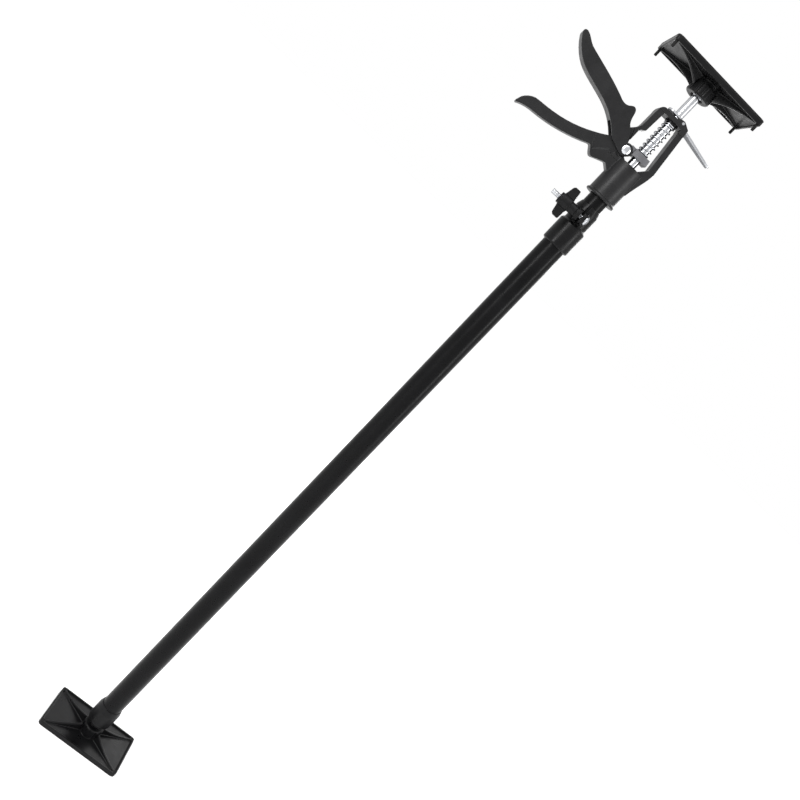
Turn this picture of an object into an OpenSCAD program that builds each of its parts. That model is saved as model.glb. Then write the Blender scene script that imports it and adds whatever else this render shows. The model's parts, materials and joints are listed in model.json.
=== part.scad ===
// Telescopic quick-action support bar, millimetres.
// The origin is the centre of the foot's face. +Z runs along the bar to the head,
// the handles point to -X, and the clamp's ears face -Y.

/* [Bar] */
// Length of the bar with both slides closed, face to face
bar_length = 1166; // [1150:1:1200]
// Outside diameter of the outer tube
outer_tube_d = 30; // [29.6:0.1:30.2]
// Outside diameter of the inner tube
inner_tube_d = 25; // [24.6:0.1:25]
// Wall of both tubes
tube_wall = 1.5; // [1:0.1:1.5]
// Diameter of the push rod
rod_d = 11; // [10.5:0.1:11.2]

/* [Pads] */
// Length of each pad
pad_length = 130; // [120:1:140]
// Width of each pad
pad_width = 75; // [70:1:85]
// Height of the pad's rim above its face
rim_h = 6.4; // [6:0.1:8]
// Radius of each ball
ball_r = 9; // [8.8:0.1:9.1]
// Length of the head pad's rubber tails beyond the rim
tail_length = 7.5; // [4:0.5:9]

/* [Grip] */
// Width of the fixed handle
handle_w = 16; // [14:1:17]
// Width of the trigger lever
lever_w = 20; // [19:0.5:21]
// Thickness of the web inside the trigger's fork
web_w = 13; // [11:0.5:13]
// Turns of the drive spring
drive_turns = 9; // [6:1:11]

/* [Clamp] */
// Turn of the clamp's ears about the bar, from straight ahead
clamp_yaw = 12; // [0:1:30]
// Span of the knob's wings
knob_span = 38; // [30:1:38]
// Diameter of the clamp bolt
bolt_d = 6; // [5:0.5:6]

/* [Hidden] */
$fn = 64;
eps = 0.01;
running = 0.05;              // radial clearance of a running fit
loose = 0.3;                 // gap between curved faces of two bodies

// heights along the bar
tube_bottom = 36;
tube_top = 957;
sleeve_bottom = 928;
sleeve_top = 960;
collar_top = 987;
bolt_z = 970;
inner_bottom = 75;
grip_bottom = 999;
inner_top = 1034;
tube_stop = 1035;
shoulder_z = 1045.5;
plates_z = 1055.7;
spring_top = 1106.4;
nose_bottom = 1108.4;
nose_top = 1113.5;

// radii across the bar
outer_r = outer_tube_d / 2;
outer_bore_r = outer_r - tube_wall;
inner_r = inner_tube_d / 2;
inner_bore_r = inner_r - tube_wall;
rod_r = rod_d / 2;
sleeve_r = 17.75;
barrel_r = 18.3;
barrel_rim_r = 20;

// swivel, measured from the pad's face towards the bar
grip_pad_t = 2;
floor_t = 2;
rim_t = 2.6;
corner_r = 5;
ball_h = 14;
ball_flat = 7.8;
spigot_r = 3;
neck_r = 4.5;
neck_h = 24;
clip_r = 4.6;
clip_t = 1.2;
seat_t = 1.3;
seat_cut = 6.2;
boss_r = 13;
collar_r = 15.75;
collar_skirt = 9;
collar_h = 22.3;
tail_r = 1.8;
tail_inset = 3.6;
rib_t = 3;
rib_rise = 10;

// clamp, in the frame of the ears
slot_w = 3;
ear_x = 6;
ear_y = -23;
ear_r = 7.5;
bolt_tip = -43;
bolt_head_h = 4.4;
washer_t = 1.4;
nut_r = 5.5;
nut_in = -28.6;
nut_out = -32.4;
hub_out = -32.6;

// grip, in the plane of the handles
pivot = [-17.7, 1054.5];
pivot_r = 3;
ring_r = 7.6;
fork_r = 36.5;
body_y = 9;
nose_y = 11;
bush_r = 7.5;
bush_top = 1110.8;
release_pivot = [8, 1114.3];
release_pin_r = 1.5;
release_boss_r = 2.6;
release_half_w = 8;
rod_hole_r = rod_r + 0.7;
spring_pocket = [14.2, 1103.5];
plate_t = 2.6;
drive_spring_r = 7.1;
drive_wire_r = 0.8;
release_spring_r = 1.85;
release_wire_r = 0.4;

STEEL = [0.74, 0.75, 0.77];
GUNMETAL = [0.42, 0.42, 0.43];
BLACK = [0.07, 0.07, 0.075];
CHARCOAL = [0.16, 0.16, 0.165];
RUBBER = [0.05, 0.05, 0.05];
NYLON = [0.82, 0.81, 0.76];

// ---------- shapes that repeat ----------

function bezier_point(p, t) =
    pow(1 - t, 3) * p[0] + 3 * pow(1 - t, 2) * t * p[1] + 3 * (1 - t) * t * t * p[2] + pow(t, 3) * p[3];

// points of one cubic curve, without its last point
function bezier(p, n = 8) = [for (i = [0:n - 1]) bezier_point(p, i / n)];

function arc(c, r, a0, a1, n = 12) =
    [for (i = [0:n]) c + r * [cos(a0 + (a1 - a0) * i / n), sin(a0 + (a1 - a0) * i / n)]];

// a shape drawn in the plane of the handles (x, z), from y0 to y1
module side(y0, y1) {
    translate([0, y1, 0]) rotate([90, 0, 0]) linear_extrude(y1 - y0) children();
}

// the same shape, as thick on both sides of the plane
module centred(half) {
    side(-half, half) children();
}

// the same slab on each side of the plane
module both_sides(y0, y1) {
    side(y0, y1) children();
    side(-y1, -y0) children();
}

module tube(r, bore, z0, z1) {
    translate([0, 0, z0]) difference() {
        cylinder(r = r, h = z1 - z0);
        translate([0, 0, -1]) cylinder(r = bore, h = z1 - z0 + 2);
    }
}

// a round bar along Y through a point (x, z)
module cross_bar(p, r, half) {
    translate([p[0], half, p[1]]) rotate([90, 0, 0]) cylinder(r = r, h = 2 * half);
}

module rounded_plate(l, w, r, h) {
    translate([-l / 2 + r, -w / 2, 0]) cube([l - 2 * r, w, h]);
    translate([-l / 2, -w / 2 + r, 0]) cube([l, w - 2 * r, h]);
    for (x = [-1, 1], y = [-1, 1])
        translate([x * (l / 2 - r), y * (w / 2 - r), 0]) cylinder(r = r, h = h);
}

// compression spring along +Z: wire radius w, mean radius r, closed ends inside 0..h
module coil_spring(r, w, h, turns, steps = 18, sides = 8) {
    n = turns * steps;
    rise = h - 2 * w;
    function ring(i) = let (a = 360 * i / steps, z = w + rise * i / n)
        [for (k = [0:sides - 1]) let (b = 360 * k / sides)
            [(r + w * cos(b)) * cos(a), (r + w * cos(b)) * sin(a), z + w * sin(b)]];
    points = [for (i = [0:n]) each ring(i)];
    walls = [for (i = [0:n - 1], k = [0:sides - 1]) let (a = i * sides, m = (k + 1) % sides)
        [a + k, a + sides + k, a + sides + m, a + m]];
    ends = [[for (k = [0:sides - 1]) k], [for (k = [sides - 1:-1:0]) n * sides + k]];
    polyhedron(points, concat(walls, ends), convexity = 10);
}

// ---------- swivel pad, its face at z = 0 and the bar above it ----------

// tail is how far the corner tails stand beyond the rim
module swivel_grip_pad(tail) {
    difference() {
        rounded_plate(pad_length, pad_width, corner_r, grip_pad_t);
        for (i = [-4.5:4.5]) translate([i * 13 - 1, -pad_width / 2 + 5, -1]) cube([2, pad_width - 10, 1.6]);
    }
    at_corners() translate([0, 0, 1]) cylinder(r = tail_r, h = rim_h + tail - 1);
}

module at_corners() {
    for (x = [-1, 1], y = [-1, 1])
        translate([x * (pad_length / 2 - tail_inset), y * (pad_width / 2 - tail_inset), 0]) children();
}

function rib_height(r, reach) = rim_h + rib_rise * pow((reach - r) / (reach - collar_r), 2.4);

module swivel_rib(reach) {
    start = collar_r + loose;
    top = [for (i = [0:10]) let (r = start + (reach - start) * i / 10) [r, rib_height(r, reach)]];
    rotate([90, 0, 0]) translate([0, 0, -rib_t / 2]) linear_extrude(rib_t)
        polygon(concat([[boss_r - 1, grip_pad_t], [boss_r - 1, collar_skirt - loose],
                        [start, collar_skirt - loose]], top, [[reach, grip_pad_t]]));
}

module swivel_plate() {
    reach = norm([pad_length / 2 - corner_r, pad_width / 2 - corner_r]);
    yaw = atan2(pad_width - 2 * corner_r, pad_length - 2 * corner_r);
    difference() {
        union() {
            translate([0, 0, grip_pad_t]) difference() {
                rounded_plate(pad_length, pad_width, corner_r, rim_h - grip_pad_t);
                translate([0, 0, floor_t])
                    rounded_plate(pad_length - 2 * rim_t, pad_width - 2 * rim_t, corner_r - rim_t, rim_h);
            }
            translate([0, 0, grip_pad_t]) cylinder(r = boss_r, h = ball_h - grip_pad_t);
            for (a = [yaw, -yaw, 180 - yaw, 180 + yaw]) rotate([0, 0, a]) swivel_rib(reach);
            at_corners() translate([0, 0, grip_pad_t]) cylinder(r = tail_r + 1.6, h = rim_h - grip_pad_t);
        }
        at_corners() cylinder(r = tail_r + running, h = rim_h + 10);
        translate([0, 0, ball_h]) intersection() {
            sphere(r = ball_r + seat_t + 2 * loose, $fn = 96);
            translate([0, 0, -20 - 3.3]) cylinder(r = 20, h = 20);
        }
        translate([0, 0, ball_h - 3.4]) cylinder(r = ball_r + loose, h = 10);
    }
}

module swivel_seat() {
    translate([0, 0, ball_h]) intersection() {
        difference() {
            sphere(r = ball_r + loose + seat_t, $fn = 96);
            sphere(r = ball_r + loose, $fn = 96);
        }
        translate([0, 0, -20 - seat_cut]) cylinder(r = 20, h = 20);
    }
}

module swivel_ball() {
    translate([0, 0, ball_h]) difference() {
        sphere(r = ball_r, $fn = 96);
        translate([0, 0, ball_flat]) cylinder(r = 20, h = 20);
        translate([0, 0, -20]) cylinder(r = spigot_r + running, h = 40);
        translate([0, 0, -20]) cylinder(r = clip_r + 0.4, h = 20 - 5.8);
    }
}

module swivel_clip() {
    translate([0, 0, ball_h - 7.1]) difference() {
        cylinder(r = clip_r, h = clip_t);
        translate([0, 0, -1]) cylinder(r = spigot_r - 0.5, h = 5);
    }
}

// pin that the ball turns on, with a groove for the clip and a neck above the ball
module swivel_stem() {
    translate([0, 0, ball_h - 7.6]) difference() {
        cylinder(r = spigot_r, h = 7.6 + ball_flat);
        translate([0, 0, 0.5]) tube(spigot_r + 1, spigot_r - 0.5, 0, clip_t);
    }
    translate([0, 0, ball_h + ball_flat]) cylinder(r = neck_r, h = neck_h - ball_h - ball_flat + eps);
}

module swivel_collar() {
    lip_h = 5.6;
    difference() {
        rotate_extrude() polygon(concat(
            [[0, collar_skirt], [collar_r, collar_skirt]],
            arc([collar_r - 2.5, collar_h - 2.5], 2.5, 0, 90, 8), [[0, collar_h]]));
        for (a = [0:30:330]) rotate([0, 0, a]) translate([collar_r + 1.6, 0, collar_skirt - 1])
            cylinder(r = 2.4, h = 20, $fn = 24);
        translate([0, 0, collar_skirt - 1]) cylinder(r = boss_r + running, h = ball_h - collar_skirt + 1.05);
        translate([0, 0, ball_h]) sphere(r = ball_r + loose, $fn = 96);
        translate([0, 0, ball_h + lip_h]) cylinder(r1 = 7.3, r2 = 8.8, h = collar_h - ball_h - lip_h + eps);
    }
}

// ---------- foot ----------

module foot_grip_pad() { color(RUBBER) swivel_grip_pad(0); }
module foot_plate() { color(BLACK) swivel_plate(); }
module foot_ball_seat() { color(NYLON) swivel_seat(); }
module foot_ball() { color(STEEL) swivel_ball(); }
module foot_ball_clip() { color(STEEL) swivel_clip(); }
module foot_collar() { color(BLACK) swivel_collar(); }

module foot_plug() {
    color(BLACK) {
        swivel_stem();
        difference() {
            rotate_extrude() polygon([[0, neck_h], [neck_r + 2, neck_h + 1.5], [sleeve_r - 1, 31.5],
                [sleeve_r, 33], [sleeve_r, 56], [outer_r + 0.6, 64], [0, 64]]);
            translate([0, 0, tube_bottom]) cylinder(r = outer_r, h = 40);
        }
        tube(outer_bore_r, outer_bore_r - 2, tube_bottom - 1, tube_bottom + 18);
    }
}

// ---------- outer tube and clamp ----------

module outer_tube() {
    color(BLACK) tube(outer_r, outer_bore_r, tube_bottom, tube_top);
}

module in_clamp() {
    rotate([0, 0, -clamp_yaw]) children();
}

// a shape along the clamp bolt, from x0 outwards to x1
module along_bolt(x0, x1) {
    translate([x0, ear_y, bolt_z]) rotate([0, 90, 0]) linear_extrude(x1 - x0) children();
}

module clamp_collar() {
    color(BLACK) in_clamp() difference() {
        union() {
            rotate_extrude() polygon([[0, sleeve_bottom], [sleeve_r - 1.5, sleeve_bottom],
                [sleeve_r, sleeve_bottom + 1.5], [sleeve_r, sleeve_top - 2], [outer_r, sleeve_top + 1],
                [outer_r, 980.5], [inner_r + 0.5, collar_top], [0, collar_top]]);
            along_bolt(-ear_x, ear_x) circle(r = ear_r);
            translate([-ear_x, ear_y, bolt_z - ear_r]) cube([2 * ear_x, -ear_y - 10, 2 * ear_r]);
        }
        translate([0, 0, sleeve_bottom - 1]) cylinder(r = outer_r, h = tube_top - sleeve_bottom + 1);
        translate([0, 0, tube_top - 1]) cylinder(r = inner_r + running, h = 50);
        translate([-slot_w / 2, -50, sleeve_top + 2]) cube([slot_w, 50 - inner_r + 3, 50]);
        along_bolt(-20, 20) circle(r = bolt_d / 2 + 0.2);
    }
}

module clamp_bolt() {
    dome_r = 8;
    color(STEEL) in_clamp() {
        along_bolt(bolt_tip, ear_x + eps) circle(r = bolt_d / 2);
        intersection() {
            along_bolt(ear_x, ear_x + bolt_head_h) circle(r = 5.6);
            translate([ear_x + bolt_head_h - dome_r, ear_y, bolt_z]) sphere(r = dome_r);
        }
    }
}

module clamp_washer() {
    color(STEEL) in_clamp() along_bolt(-ear_x - washer_t, -ear_x) difference() {
        circle(r = 6.3);
        circle(r = bolt_d / 2 + 0.2);
    }
}

// outline of the wings: first along the bolt, then across it
module wing_outline() {
    half = knob_span / 2;
    for (m = [0, 1]) mirror([0, m]) polygon([[-17.4, -1], [-17.4, 7.4], [-18, half - 1.4], [-19, half],
        [-25.4, half], [-27.4, half - 2], [-29, 9.4], [-30.2, 5], [-30.2, -1]]);
}

module wing_knob() {
    wing_t = 7.6;
    color(BLACK) in_clamp() difference() {
        union() {
            along_bolt(-18, -ear_x - washer_t - loose) circle(r = 6.4);
            along_bolt(-29.4, -17) circle(r = 8.6);
            along_bolt(hub_out, -29) circle(r = 6.8);
            translate([0, ear_y + wing_t / 2, bolt_z]) rotate([90, 0, 0]) linear_extrude(wing_t)
                wing_outline();
        }
        along_bolt(bolt_tip, 0) circle(r = bolt_d / 2 + running);
        along_bolt(hub_out - 1, nut_in) circle(r = nut_r, $fn = 6);
    }
}

module knob_nut() {
    color(STEEL) in_clamp() along_bolt(nut_out, nut_in) difference() {
        circle(r = nut_r - running, $fn = 6);
        circle(r = bolt_d / 2 + running);
    }
}

// ---------- inner tube ----------

module inner_tube() {
    color(BLACK) tube(inner_r, inner_bore_r, inner_bottom, inner_top);
}

module inner_guide() {
    color(NYLON) {
        tube(outer_bore_r - running, inner_r, inner_bottom, inner_bottom + 30);
        tube(outer_bore_r - running, 8, inner_bottom - 3, inner_bottom);
    }
}

// ---------- grip body ----------

// outline of the fixed handle, from its root over the top edge to the tip and back below
module fixed_handle_outline() {
    polygon(concat(
        bezier([[-30, 1060], [-34, 1058], [-39, 1055.4], [-42, 1053.4]], 3),
        bezier([[-42, 1053.4], [-62, 1041], [-82, 1033], [-106, 1029.6]], 8),
        bezier([[-106, 1029.6], [-116, 1028], [-122, 1028.2], [-129, 1027]], 4),
        bezier([[-129, 1027], [-136, 1025], [-141, 1020], [-143.5, 1014.6]], 5),
        [[-144.4, 1010.8], [-143, 1009.4]],
        bezier([[-143, 1009.4], [-137, 1012.6], [-130, 1014.6], [-120, 1015.2]], 5),
        bezier([[-120, 1015.2], [-98, 1017], [-74, 1023], [-52.5, 1032.4]], 8),
        bezier([[-52.5, 1032.4], [-50, 1033], [-49.8, 1031.8], [-48.6, 1030.4]], 3),
        bezier([[-48.6, 1030.4], [-45, 1025.6], [-43, 1023.4], [-39.8, 1024.6]], 4),
        bezier([[-39.8, 1024.6], [-32, 1028], [-25, 1030.6], [-20.6, 1031]], 4),
        [[-18.6, 1026], [-16, 1024], [-10, 1046]]));
}

// outline of the open frame, with its window
module frame_outline() {
    difference() {
        polygon(concat(
            [[0, 1020], [17.6, 1020]],
            bezier([[17.6, 1020], [19, 1030], [24, 1046], [24.7, 1053]], 6),
            arc([22.2, 1056.6], 2.6, -10, 15, 3),
            [[18.4, 1106]],
            arc([15.4, 1111.2], 2.3, 8, 90, 5),
            arc([-16.4, 1107], 6.5, 90, 180, 8),
            [[-23.4, 1086.5]],
            bezier([[-23.4, 1086.5], [-23.6, 1081], [-26.5, 1079.2], [-31, 1074.4]], 5),
            bezier([[-31, 1074.4], [-38, 1069], [-41, 1062], [-42, 1053.4]], 5),
            [[-30, 1040], [-10, 1040]]));
        window_outline();
    }
}

module window_outline() {
    polygon(concat(
        [[-12, shoulder_z], [7.4, shoulder_z], [13.4, 1051.6]],
        arc([15.6, 1056.2], 1.6, -70, 8, 4),
        [[10.6, nose_bottom], [-14.6, nose_bottom]],
        arc([-17.6, 1083.6], 1.6, 8, -82, 4),
        arc([-20.6, 1078.4], 1.4, 90, 180, 4),
        [[-22, 1064]],
        arc(pivot, ring_r - 1.4, 115, -65, 12)));
}

// where the trigger's fork swings beside the web
module fork_sweep() {
    polygon(concat([pivot], arc(pivot, fork_r + 1, 112, 219, 20)));
    polygon(concat([pivot], arc(pivot, 17, 112, 238, 16)));
    polygon(concat([pivot], arc(pivot, ring_r + 3.6, 225, 266, 8)));
    translate(pivot) circle(r = ring_r + 1);
}

// lug at each side of the nose that carries the release pin
module nose_ears_outline() {
    polygon([[0.5, nose_bottom], [0.5, 1113], [2.6, 1116.2], [8, 1117], [11, 1115.8], [17.4, 1112.6],
        [17.7, 1108.4]]);
}

// room for the release lever between the ears
module release_slot_outline() {
    polygon([[-30, nose_top], [3.6, nose_top], [4.6, 1111], [9.6, 1111], [17, 1107.6], [30, 1103], [30, 1125],
        [-30, 1125]]);
}

module grip_body() {
    color(CHARCOAL) difference() {
        union() {
            difference() {
                union() {
                    translate([0, 0, grip_bottom]) cylinder(r = barrel_r, h = shoulder_z - grip_bottom);
                    centred(body_y) frame_outline();
                    centred(handle_w / 2) fixed_handle_outline();
                }
                both_sides(web_w / 2, 30) fork_sweep();
            }
            rotate_extrude() polygon([[0, grip_bottom], [barrel_rim_r - 0.6, grip_bottom],
                [barrel_rim_r, grip_bottom + 0.6], [barrel_rim_r, grip_bottom + 2.4],
                [barrel_r - eps, grip_bottom + 4], [0, grip_bottom + 4]]);
            difference() {
                centred(nose_y) intersection() {
                    frame_outline();
                    translate([-30, 1104]) square([60, 20]);
                }
                side(-20, -nose_y + 1.2) translate([-30, 1104]) square([22, 4.4]);
            }
            both_sides(release_half_w + 0.4, nose_y) nose_ears_outline();
        }
        translate([0, 0, grip_bottom - 1]) cylinder(r = inner_r, h = tube_stop - grip_bottom + 1);
        translate([0, 0, grip_bottom]) cylinder(r = rod_r + 0.4, h = 70);
        translate([0, 0, nose_bottom - 5]) cylinder(r = bush_r, h = 20);
        centred(release_half_w + 0.4) release_slot_outline();
        translate([spring_pocket[0], 0, spring_pocket[1]]) cylinder(r = 2.6, h = 20);
        cross_bar(pivot, pivot_r, 40);
        cross_bar(release_pivot, release_pin_r, 40);
        translate([0, 0, 1015]) rotate([-90, 0, 0]) cylinder(r = 2.5, h = 40);
    }
}

module tube_set_screw() {
    color(STEEL) translate([0, inner_r, 1015]) rotate([-90, 0, 0]) difference() {
        cylinder(r = 2.5, h = 5.4);
        translate([0, 0, 3]) cylinder(r = 1.4, h = 5, $fn = 6);
    }
}

module nose_bush() {
    color(BLACK) {
        tube(bush_r, rod_r + running, nose_bottom, bush_top);
        tube(bush_r + 0.9, rod_r + running, spring_top, nose_bottom);
    }
}

module pivot_rivet() {
    head_r = 4.9;
    dome_r = 9;
    half = lever_w / 2 + 0.15;
    color(STEEL) {
        cross_bar(pivot, pivot_r, half);
        for (s = [-1, 1]) intersection() {
            translate([pivot[0], s * (half + 0.9), pivot[1]]) rotate([90, 0, 0])
                cylinder(r = head_r, h = 1.8, center = true);
            translate([pivot[0], s * (half + 1.8 - dome_r), pivot[1]]) sphere(r = dome_r);
        }
    }
}

module release_pin() {
    color(STEEL) cross_bar(release_pivot, release_pin_r, nose_y);
}

module release_spring() {
    color(STEEL) translate([spring_pocket[0], 0, spring_pocket[1]])
        coil_spring(release_spring_r, release_wire_r, 5.9, 4, 14, 6);
}

// ---------- trigger ----------

// outline of the trigger lever, from the pivot ring over the rear edge to the tip and back
module lever_outline() {
    polygon(concat(
        [[-18, 1046.9], [-24.4, 1048]],
        bezier([[-24.4, 1048], [-31, 1050.4], [-37, 1052], [-41.6, 1053.4]], 4),
        [[-43.2, 1057]],
        bezier([[-43.2, 1057], [-52, 1065], [-62, 1071], [-75, 1074.6]], 6),
        bezier([[-75, 1074.6], [-90, 1078.6], [-102, 1080.6], [-112, 1084.2]], 6),
        bezier([[-112, 1084.2], [-121, 1087.4], [-132, 1095.6], [-138.6, 1106]], 6),
        bezier([[-138.6, 1106], [-140.4, 1109], [-139, 1111.6], [-135.4, 1111.2]], 4),
        bezier([[-135.4, 1111.2], [-130, 1110.4], [-127, 1106.4], [-120.6, 1104]], 4),
        bezier([[-120.6, 1104], [-108, 1100.6], [-84, 1096.4], [-63, 1089.2]], 8),
        bezier([[-63, 1089.2], [-55, 1085.6], [-50, 1086.6], [-46.4, 1090.2]], 6),
        bezier([[-46.4, 1090.2], [-42.6, 1093], [-39.4, 1091], [-38.2, 1087]], 5),
        bezier([[-38.2, 1087], [-37, 1082], [-35.6, 1076.4], [-31.6, 1074]], 5),
        bezier([[-31.6, 1074], [-28, 1071.6], [-25, 1068], [-23.4, 1060.4]], 5),
        arc(pivot, ring_r, 130, 4, 10),
        [[-8.6, 1055.1], [-8.6, 1053.8], [-11.4, 1050.4]]));
}

module trigger_lever() {
    color(CHARCOAL) difference() {
        centred(lever_w / 2) lever_outline();
        centred(web_w / 2 + 0.4) translate(pivot) circle(r = fork_r);
        cross_bar(pivot, pivot_r + running, 40);
    }
}

// ---------- drive ----------

module drive_plates() {
    half_w = 9.4;
    tab_w = 6.1;
    color(GUNMETAL) difference() {
        for (i = [0:2]) translate([0, 0, plates_z + i * plate_t]) {
            left = -9.6 - 2.7 * i;
            translate([-9.6, -half_w, 0]) cube([21.2 - 0.4 * i, 2 * half_w, plate_t]);
            translate([left, -tab_w, 0]) cube([2 - left - 9.6 + 1, 2 * tab_w, plate_t]);
        }
        translate([0, 0, plates_z - 1]) cylinder(r = rod_r + 0.1, h = 20);
    }
}

module drive_spring() {
    low = plates_z + 3 * plate_t;
    color(STEEL) translate([0, 0, low])
        coil_spring(drive_spring_r, drive_wire_r, spring_top - low, drive_turns);
}

module push_rod() {
    rod_bottom = 862;
    neck_z = bar_length - neck_h;
    color(STEEL) {
        translate([0, 0, rod_bottom]) cylinder(r = rod_r, h = neck_z - rod_bottom);
        translate([0, 0, bar_length]) rotate([180, 0, 0]) swivel_stem();
    }
}

module rod_guide() {
    color(NYLON) tube(inner_bore_r - running, rod_r, 862, 874);
}

// ---------- release ----------

module release_profile() {
    polygon([[-14, 1116], [1.5, 1116], [17, 1109.5], [63, 1101.4], [64.6, 1102.4], [64, 1103.6],
        [17, 1111.8], [1.8, 1118.2], [-14, 1118.2]]);
    translate(release_pivot) circle(r = release_boss_r);
}

module release_lever() {
    color(STEEL) difference() {
        intersection() {
            centred(release_half_w) release_profile();
            translate([0, 0, 1090]) linear_extrude(40) polygon(concat(
                arc([-8, -2], 6, 270, 180, 6), arc([-8, 2], 6, 180, 90, 6),
                [[20, 8], [30, 7.6], [58, 5]], arc([60.4, 0], 4.4, 60, -60, 8),
                [[58, -5], [30, -7.6], [20, -8]]));
        }
        translate([0, 0, 1100]) cylinder(r = rod_hole_r, h = 30);
        cross_bar(release_pivot, release_pin_r + running, 20);
    }
}

// ---------- head ----------

module at_head() {
    translate([0, 0, bar_length]) rotate([180, 0, 0]) children();
}

module head_grip_pad() { color(RUBBER) at_head() swivel_grip_pad(tail_length); }
module head_plate() { color(BLACK) at_head() swivel_plate(); }
module head_ball_seat() { color(NYLON) at_head() swivel_seat(); }
module head_ball() { color(STEEL) at_head() swivel_ball(); }
module head_ball_clip() { color(STEEL) at_head() swivel_clip(); }
module head_collar() { color(BLACK) at_head() swivel_collar(); }

outer_tube();
clamp_collar();
clamp_bolt();
clamp_washer();
foot_plug();
foot_ball_clip();
wing_knob();
knob_nut();
foot_ball();
foot_ball_seat();
foot_collar();
foot_plate();
foot_grip_pad();
inner_tube();
inner_guide();
grip_body();
tube_set_screw();
nose_bush();
pivot_rivet();
release_pin();
release_spring();
trigger_lever();
drive_plates();
drive_spring();
push_rod();
rod_guide();
head_ball_clip();
release_lever();
head_ball();
head_ball_seat();
head_collar();
head_plate();
head_grip_pad();
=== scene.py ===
"""Looks of the telescopic support bar: rounded castings and mouldings, wound springs, threads,
procedural materials, soft studio light and the camera."""
import json
import math

import bmesh
import bpy
from mathutils import Matrix, Vector


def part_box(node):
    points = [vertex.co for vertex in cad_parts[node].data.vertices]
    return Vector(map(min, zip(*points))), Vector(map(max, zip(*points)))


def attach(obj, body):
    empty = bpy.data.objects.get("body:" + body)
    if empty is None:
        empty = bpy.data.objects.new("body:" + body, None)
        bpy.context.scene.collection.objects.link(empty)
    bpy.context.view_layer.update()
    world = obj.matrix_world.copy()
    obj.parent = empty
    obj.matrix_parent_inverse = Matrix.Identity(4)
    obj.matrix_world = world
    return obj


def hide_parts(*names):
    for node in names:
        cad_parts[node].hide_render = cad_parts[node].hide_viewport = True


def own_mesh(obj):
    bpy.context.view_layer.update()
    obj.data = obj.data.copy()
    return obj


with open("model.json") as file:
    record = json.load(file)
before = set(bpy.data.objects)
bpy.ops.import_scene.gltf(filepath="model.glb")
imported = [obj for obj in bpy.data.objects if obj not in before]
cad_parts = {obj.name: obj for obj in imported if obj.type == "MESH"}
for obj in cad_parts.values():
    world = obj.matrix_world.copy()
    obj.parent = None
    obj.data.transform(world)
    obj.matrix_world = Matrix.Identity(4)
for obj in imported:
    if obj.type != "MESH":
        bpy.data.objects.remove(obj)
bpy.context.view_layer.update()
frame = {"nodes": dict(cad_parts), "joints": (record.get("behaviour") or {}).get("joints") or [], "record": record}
nodes = frame["nodes"]
MM = 0.001

# how much of a finish's colour change comes from its slow drift and from its fine grain
DRIFT_SHARE = 0.65
GRAIN_SHARE = 0.35


# ---------- materials ----------

def add(tree, kind, **values):
    """A node, with its inputs set by name."""
    node = tree.nodes.new(kind)
    for key, value in values.items():
        node.inputs[key].default_value = value
    return node


def noise(tree, place, scale, detail, stretch=(1.0, 1.0, 1.0)):
    """Noise in the piece's own coordinates; scale is in features per metre."""
    mapping = add(tree, "ShaderNodeMapping", Scale=stretch)
    texture = add(tree, "ShaderNodeTexNoise", Scale=scale, Detail=detail)
    tree.links.new(place, mapping.inputs["Vector"])
    tree.links.new(mapping.outputs["Vector"], texture.inputs["Vector"])
    return texture.outputs["Fac"]


def remap(tree, value, low, high, start=0.3, end=0.7):
    """value from start to end becomes low to high."""
    node = add(tree, "ShaderNodeMapRange")
    for key, number in (("From Min", start), ("From Max", end), ("To Min", low), ("To Max", high)):
        node.inputs[key].default_value = number
    tree.links.new(value, node.inputs["Value"])
    return node.outputs["Result"]


def surface(name, dark, light, rough, grain, relief, metallic=0.0, specular=0.5,
            patch=35.0, stretch=(1.0, 1.0, 1.0), rim=1.0):
    """A finish whose colour drifts from dark to light, with patches of gloss and a fine relief.

    rough is the (lowest, highest) roughness, grain the grain's features per metre, relief its depth in
    millimetres, patch the features per metre of the slow drift, stretch the grain's stretch along X, Y, Z,
    and rim the shader's specular tint, which is how bright a metal's reflection is at its rim.
    """
    material = bpy.data.materials.new(name)
    material.use_nodes = True
    tree = material.node_tree
    shader = tree.nodes["Principled BSDF"]
    shader.inputs["Metallic"].default_value = metallic
    shader.inputs["Specular IOR Level"].default_value = specular
    shader.inputs["Specular Tint"].default_value = (rim, rim, rim, 1.0)
    place = tree.nodes.new("ShaderNodeTexCoord").outputs["Object"]
    slow = noise(tree, place, patch, 4.0)
    fine = noise(tree, place, grain, 3.0, stretch)
    blend = add(tree, "ShaderNodeMath")
    blend.operation = "ADD"
    tree.links.new(remap(tree, slow, 0.0, DRIFT_SHARE), blend.inputs[0])
    tree.links.new(remap(tree, fine, 0.0, GRAIN_SHARE), blend.inputs[1])
    ramp = tree.nodes.new("ShaderNodeValToRGB")
    ramp.color_ramp.elements[0].color = (*dark, 1.0)
    ramp.color_ramp.elements[1].color = (*light, 1.0)
    tree.links.new(blend.outputs[0], ramp.inputs["Fac"])
    tree.links.new(ramp.outputs["Color"], shader.inputs["Base Color"])
    tree.links.new(remap(tree, noise(tree, place, patch * 3, 5.0), *rough), shader.inputs["Roughness"])
    bump = add(tree, "ShaderNodeBump", Strength=1.0, Distance=relief * MM)
    tree.links.new(fine, bump.inputs["Height"])
    tree.links.new(bump.outputs["Normal"], shader.inputs["Normal"])
    return material


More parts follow.
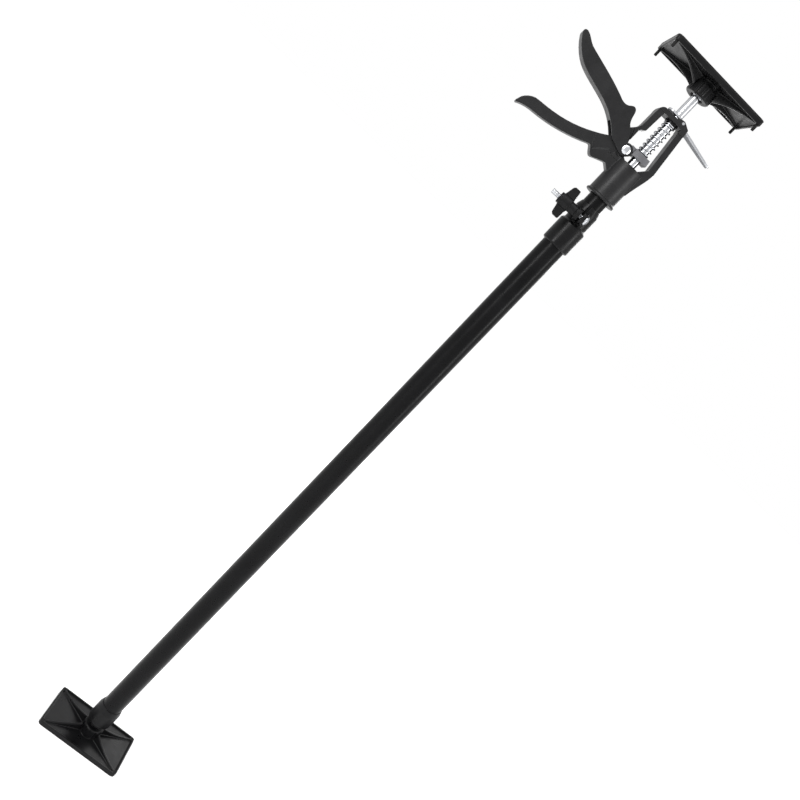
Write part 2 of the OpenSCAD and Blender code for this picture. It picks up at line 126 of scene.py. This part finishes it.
POWDER_COAT = surface("powder_coat", (0.0016, 0.0016, 0.0018), (0.0036, 0.0036, 0.0039), (0.22, 0.34),
                      grain=650.0, relief=0.05, specular=0.09)
CASTING = surface("cast_charcoal", (0.0040, 0.0040, 0.0043), (0.0090, 0.0090, 0.0095), (0.34, 0.48),
                  grain=900.0, relief=0.12, specular=0.22)
MOULDING = surface("moulded_black", (0.0020, 0.0020, 0.0022), (0.0052, 0.0052, 0.0056), (0.25, 0.40),
                   grain=1800.0, relief=0.03, specular=0.13)
ZINC = surface("zinc", (0.38, 0.39, 0.41), (0.60, 0.61, 0.63), (0.16, 0.30),
               grain=500.0, relief=0.015, metallic=1.0, stretch=(1.0, 1.0, 5.0), rim=0.25)
PRESSED = surface("pressed_steel", (0.13, 0.13, 0.14), (0.23, 0.23, 0.24), (0.28, 0.44),
                  grain=1200.0, relief=0.03, metallic=1.0, stretch=(1.0, 1.0, 4.0), rim=0.55)
RUBBER = surface("rubber", (0.0035, 0.0035, 0.0035), (0.0080, 0.0080, 0.0080), (0.55, 0.72),
                 grain=1500.0, relief=0.08, specular=0.14)
NYLON = surface("nylon", (0.58, 0.56, 0.50), (0.70, 0.68, 0.61), (0.35, 0.48),
                grain=900.0, relief=0.02)

FINISH = {
    "tube_black": POWDER_COAT,
    "cast_charcoal": CASTING,
    "moulded_black": MOULDING,
    "zinc": ZINC,
    "grey_steel": PRESSED,
    "rubber": RUBBER,
    "nylon": NYLON,
}
SLOTS = {part["node"]: part["material_slot"] for part in frame["record"]["subparts"]}


def paint(obj, slot):
    """Gives obj the finish of a slot, over its whole surface."""
    obj.data.materials.clear()
    obj.data.materials.append(FINISH[slot])


# ---------- pieces ----------

def settled(obj):
    """obj with its modifiers made part of its mesh."""
    graph = bpy.context.evaluated_depsgraph_get()
    mesh = bpy.data.meshes.new_from_object(obj.evaluated_get(graph))
    obj.modifiers.clear()
    obj.data = mesh
    return obj


def new_piece(name, mesh):
    obj = bpy.data.objects.new(name, mesh)
    bpy.context.collection.objects.link(obj)
    return obj


def stand_in(obj, node, body):
    """obj takes the place, the finish and the body of a CAD node."""
    paint(obj, SLOTS[node])
    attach(obj, body)
    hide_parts(node)


def rounded(node, body, name, voxel, passes):
    """A casting or moulding: the CAD shape with every edge and inside corner softly rounded."""
    obj = new_piece(name, nodes[node].data.copy())
    remesh = obj.modifiers.new("skin", "REMESH")
    remesh.mode = "VOXEL"
    remesh.voxel_size = voxel * MM
    smooth = obj.modifiers.new("round", "SMOOTH")
    smooth.factor = 0.5
    smooth.iterations = passes
    settled(obj)
    obj.data.polygons.foreach_set("use_smooth", [True] * len(obj.data.polygons))
    stand_in(obj, node, body)
    return obj


def sweep(name, rings):
    """A tube of rings, closed at both ends."""
    mesh = bmesh.new()
    loops = [[mesh.verts.new(point) for point in ring] for ring in rings]
    sides = len(loops[0])
    for low, high in zip(loops, loops[1:]):
        for k in range(sides):
            following = (k + 1) % sides
            mesh.faces.new((low[k], low[following], high[following], high[k]))
    mesh.faces.new(reversed(loops[0]))
    mesh.faces.new(loops[-1])
    bmesh.ops.recalc_face_normals(mesh, faces=mesh.faces)
    for face in mesh.faces:
        face.smooth = len(face.verts) == 4
    data = bpy.data.meshes.new(name)
    mesh.to_mesh(data)
    mesh.free()
    return new_piece(name, data)


def coil(name, node, turns, wire, steps=40, sides=14):
    """A compression spring in the box of its CAD node, with a closed turn at each end."""
    end_pitch = 1.8 * wire
    low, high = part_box(node)
    centre = (Vector(low) + Vector(high)) / 2
    radius = (high[1] - low[1]) / 2 - wire
    start = low[2] + wire
    rise = high[2] - low[2] - 2 * wire
    rings = []
    count = turns * steps
    closed = end_pitch / rise
    for i in range(count + 1):
        turn = i / steps
        if turn < 1:
            height = closed * turn
        elif turn > turns - 1:
            height = 1 - closed * (turns - turn)
        else:
            height = closed + (1 - 2 * closed) * (turn - 1) / (turns - 2)
        a = 2 * math.pi * turn
        out = Vector((math.cos(a), math.sin(a), 0.0))
        middle = Vector((centre.x, centre.y, start + rise * height)) + radius * out
        rings.append([middle + wire * (math.cos(b) * out + math.sin(b) * Vector((0, 0, 1)))
                      for b in (2 * math.pi * k / sides for k in range(sides))])
    return sweep(name, rings)


def threaded(name, radius, depth, pitch, length, sides=24, rows=8):
    """A threaded shank along +X from 0 to length: rings whose radius rises and falls along a helix."""
    count = round(length / pitch * rows)
    rings = []
    for i in range(count + 1):
        fade = min(1.0, (count - i) / rows)
        ring = []
        for k in range(sides):
            a = 2 * math.pi * k / sides
            wave = abs(((i / rows - k / sides) % 1.0) * 2 - 1)
            r = radius - depth * (1 - wave * fade)
            ring.append((i * pitch / rows, r * math.cos(a), r * math.sin(a)))
        rings.append(ring)
    return sweep(name, rings)


def turned(name, profile, sides=36):
    """A solid of revolution about X; profile is a list of (x, radius)."""
    angles = [2 * math.pi * k / sides for k in range(sides)]
    return sweep(name, [[(x, r * math.cos(a), r * math.sin(a)) for a in angles] for x, r in profile])


def clamp_screw():
    """The clamp's bolt: a domed head on a threaded shank that runs through the ears and the knob."""
    head_start = 6 * MM
    head_h = 4.4 * MM
    head_r = 5.6 * MM
    dome_r = 8 * MM
    tip = -43 * MM
    shank_r = 3 * MM
    thread_depth = 0.35 * MM
    pitch = 1.25 * MM
    steps = 12
    knob_joint = next(joint for joint in frame["joints"] if joint["name"] == "knob_turn")
    centre = Vector(knob_joint["pos_m"])
    along = Vector(knob_joint["axis"]).normalized()
    turn = Vector((1, 0, 0)).rotation_difference(along).to_matrix().to_4x4()
    rim = math.asin(head_r / dome_r)
    dome = [rim * (1 - i / (steps + 1)) for i in range(steps + 1)]
    profile = [(0.0, head_r)]
    profile += [(head_h - dome_r + dome_r * math.cos(a), dome_r * math.sin(a)) for a in dome]
    shank = threaded("clamp_screw", shank_r, thread_depth, pitch, head_start - tip)
    head = turned("clamp_screw_head", profile)
    for piece, start in ((shank, tip), (head, head_start)):
        piece.data.transform(Matrix.Translation(centre + along * start) @ turn)
        stand_in(piece, "clamp_bolt", "pole")


def bevelled(node, width):
    """Breaks the sharp edges of a CAD node with a small bevel, its width in mm."""
    modifier = nodes[node].modifiers.new("edge", "BEVEL")
    modifier.width = width * MM
    modifier.segments = 3
    modifier.limit_method = "ANGLE"
    modifier.angle_limit = math.radians(35)
    modifier.harden_normals = True


for node_name, obj in nodes.items():
    paint(obj, SLOTS[node_name])

# castings and mouldings, with the voxel size in mm and the rounding passes
rounded("grip_body", "grip", "grip_casting", 0.45, 5)
rounded("trigger_lever", "trigger", "trigger_casting", 0.45, 6)
rounded("clamp_collar", "pole", "clamp_moulding", 0.4, 3)
rounded("wing_knob", "clamp_knob", "knob_moulding", 0.35, 6)
for end in ("foot", "head"):
    rounded(end + "_plate", end + "_pad", end + "_plate_moulding", 0.5, 2)
    rounded(end + "_collar", end + "_pad", end + "_collar_moulding", 0.35, 3)
    rounded(end + "_grip_pad", end + "_pad", end + "_rubber", 0.5, 1)

# the drive spring, wound in the box of its CAD node
drive = coil("drive_coil", "drive_spring", 9, 0.8 * MM)
stand_in(drive, "drive_spring", "grip")
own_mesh(drive)

clamp_screw()

# the release lever's spring stands in its pocket
release = coil("release_coil", "release_spring", 4, 0.4 * MM, steps=24, sides=8)
stand_in(release, "release_spring", "grip")
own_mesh(release)

# thin steel, the foot's socket, and the flat parts on the clamp's bolt
rounded("release_lever", "release", "release_plate", 0.25, 3)
rounded("foot_plug", "pole", "foot_socket", 0.4, 3)
for node_name in ("clamp_washer", "knob_nut"):
    bevelled(node_name, 0.3)


# ---------- floor, light and camera ----------

def hang(light, rotation, place=(0, 0, 0)):
    """Puts a light into the scene."""
    lamp = bpy.data.objects.new(light.name, light)
    lamp.location = place
    lamp.rotation_euler = rotation
    bpy.context.collection.objects.link(lamp)


def studio():
    """Pale floor under the foot and soft light from large panels."""
    floor_size = 60
    lit_point = Vector((0, 0, 0.7))
    bpy.ops.mesh.primitive_plane_add(size=floor_size)
    floor = bpy.context.object
    floor.name = "floor"
    floor.data.materials.append(surface("floor_paint", (0.86, 0.86, 0.86), (0.90, 0.90, 0.90), (0.7, 0.8),
                                        grain=40.0, relief=0.05, specular=0.2, patch=2.0))
    world = bpy.data.worlds.new("studio")
    world.use_nodes = True
    world.node_tree.nodes["Background"].inputs["Color"].default_value = (1.0, 1.0, 1.0, 1.0)
    world.node_tree.nodes["Background"].inputs["Strength"].default_value = 1.0
    bpy.context.scene.world = world
    # name, place, width, height, watts
    panels = (
        ("key", (-1.5, -1.7, 1.9), 0.5, 2.4, 60.0),
        ("fill", (1.9, -1.0, 1.2), 0.4, 2.4, 30.0),
        ("back", (0.9, 2.0, 1.8), 1.2, 2.0, 30.0),
    )
    for name, place, width, height, power in panels:
        light = bpy.data.lights.new(name, "AREA")
        light.shape = "RECTANGLE"
        light.size = width
        light.size_y = height
        light.energy = power
        hang(light, (lit_point - Vector(place)).to_track_quat("-Z", "Y").to_euler(), place)

    sky = bpy.data.lights.new("sky", "SUN")
    sky.energy = 0.7
    sky.angle = math.radians(50)
    hang(sky, (math.radians(20), math.radians(-15), 0))


def camera():
    """The camera in front of the bar, rolled so that the bar runs across the picture."""
    place = Vector((-0.1546, -0.9428, 0.9010))
    ahead = Vector((0.152, 0.960, -0.2352)).normalized()
    up = Vector((-0.6566, 0.276, 0.7019))
    right = ahead.cross(up).normalized()
    up = right.cross(ahead)
    data = bpy.data.cameras.new("camera")
    data.lens = 36.0
    data.sensor_width = 36.0
    data.clip_end = 200.0
    obj = bpy.data.objects.new("camera", data)
    turn = Matrix((right, up, -ahead)).transposed().to_4x4()
    obj.matrix_world = Matrix.Translation(place) @ turn
    bpy.context.collection.objects.link(obj)
    bpy.context.scene.camera = obj


studio()
camera()
bpy.context.scene.view_settings.view_transform = "Standard"
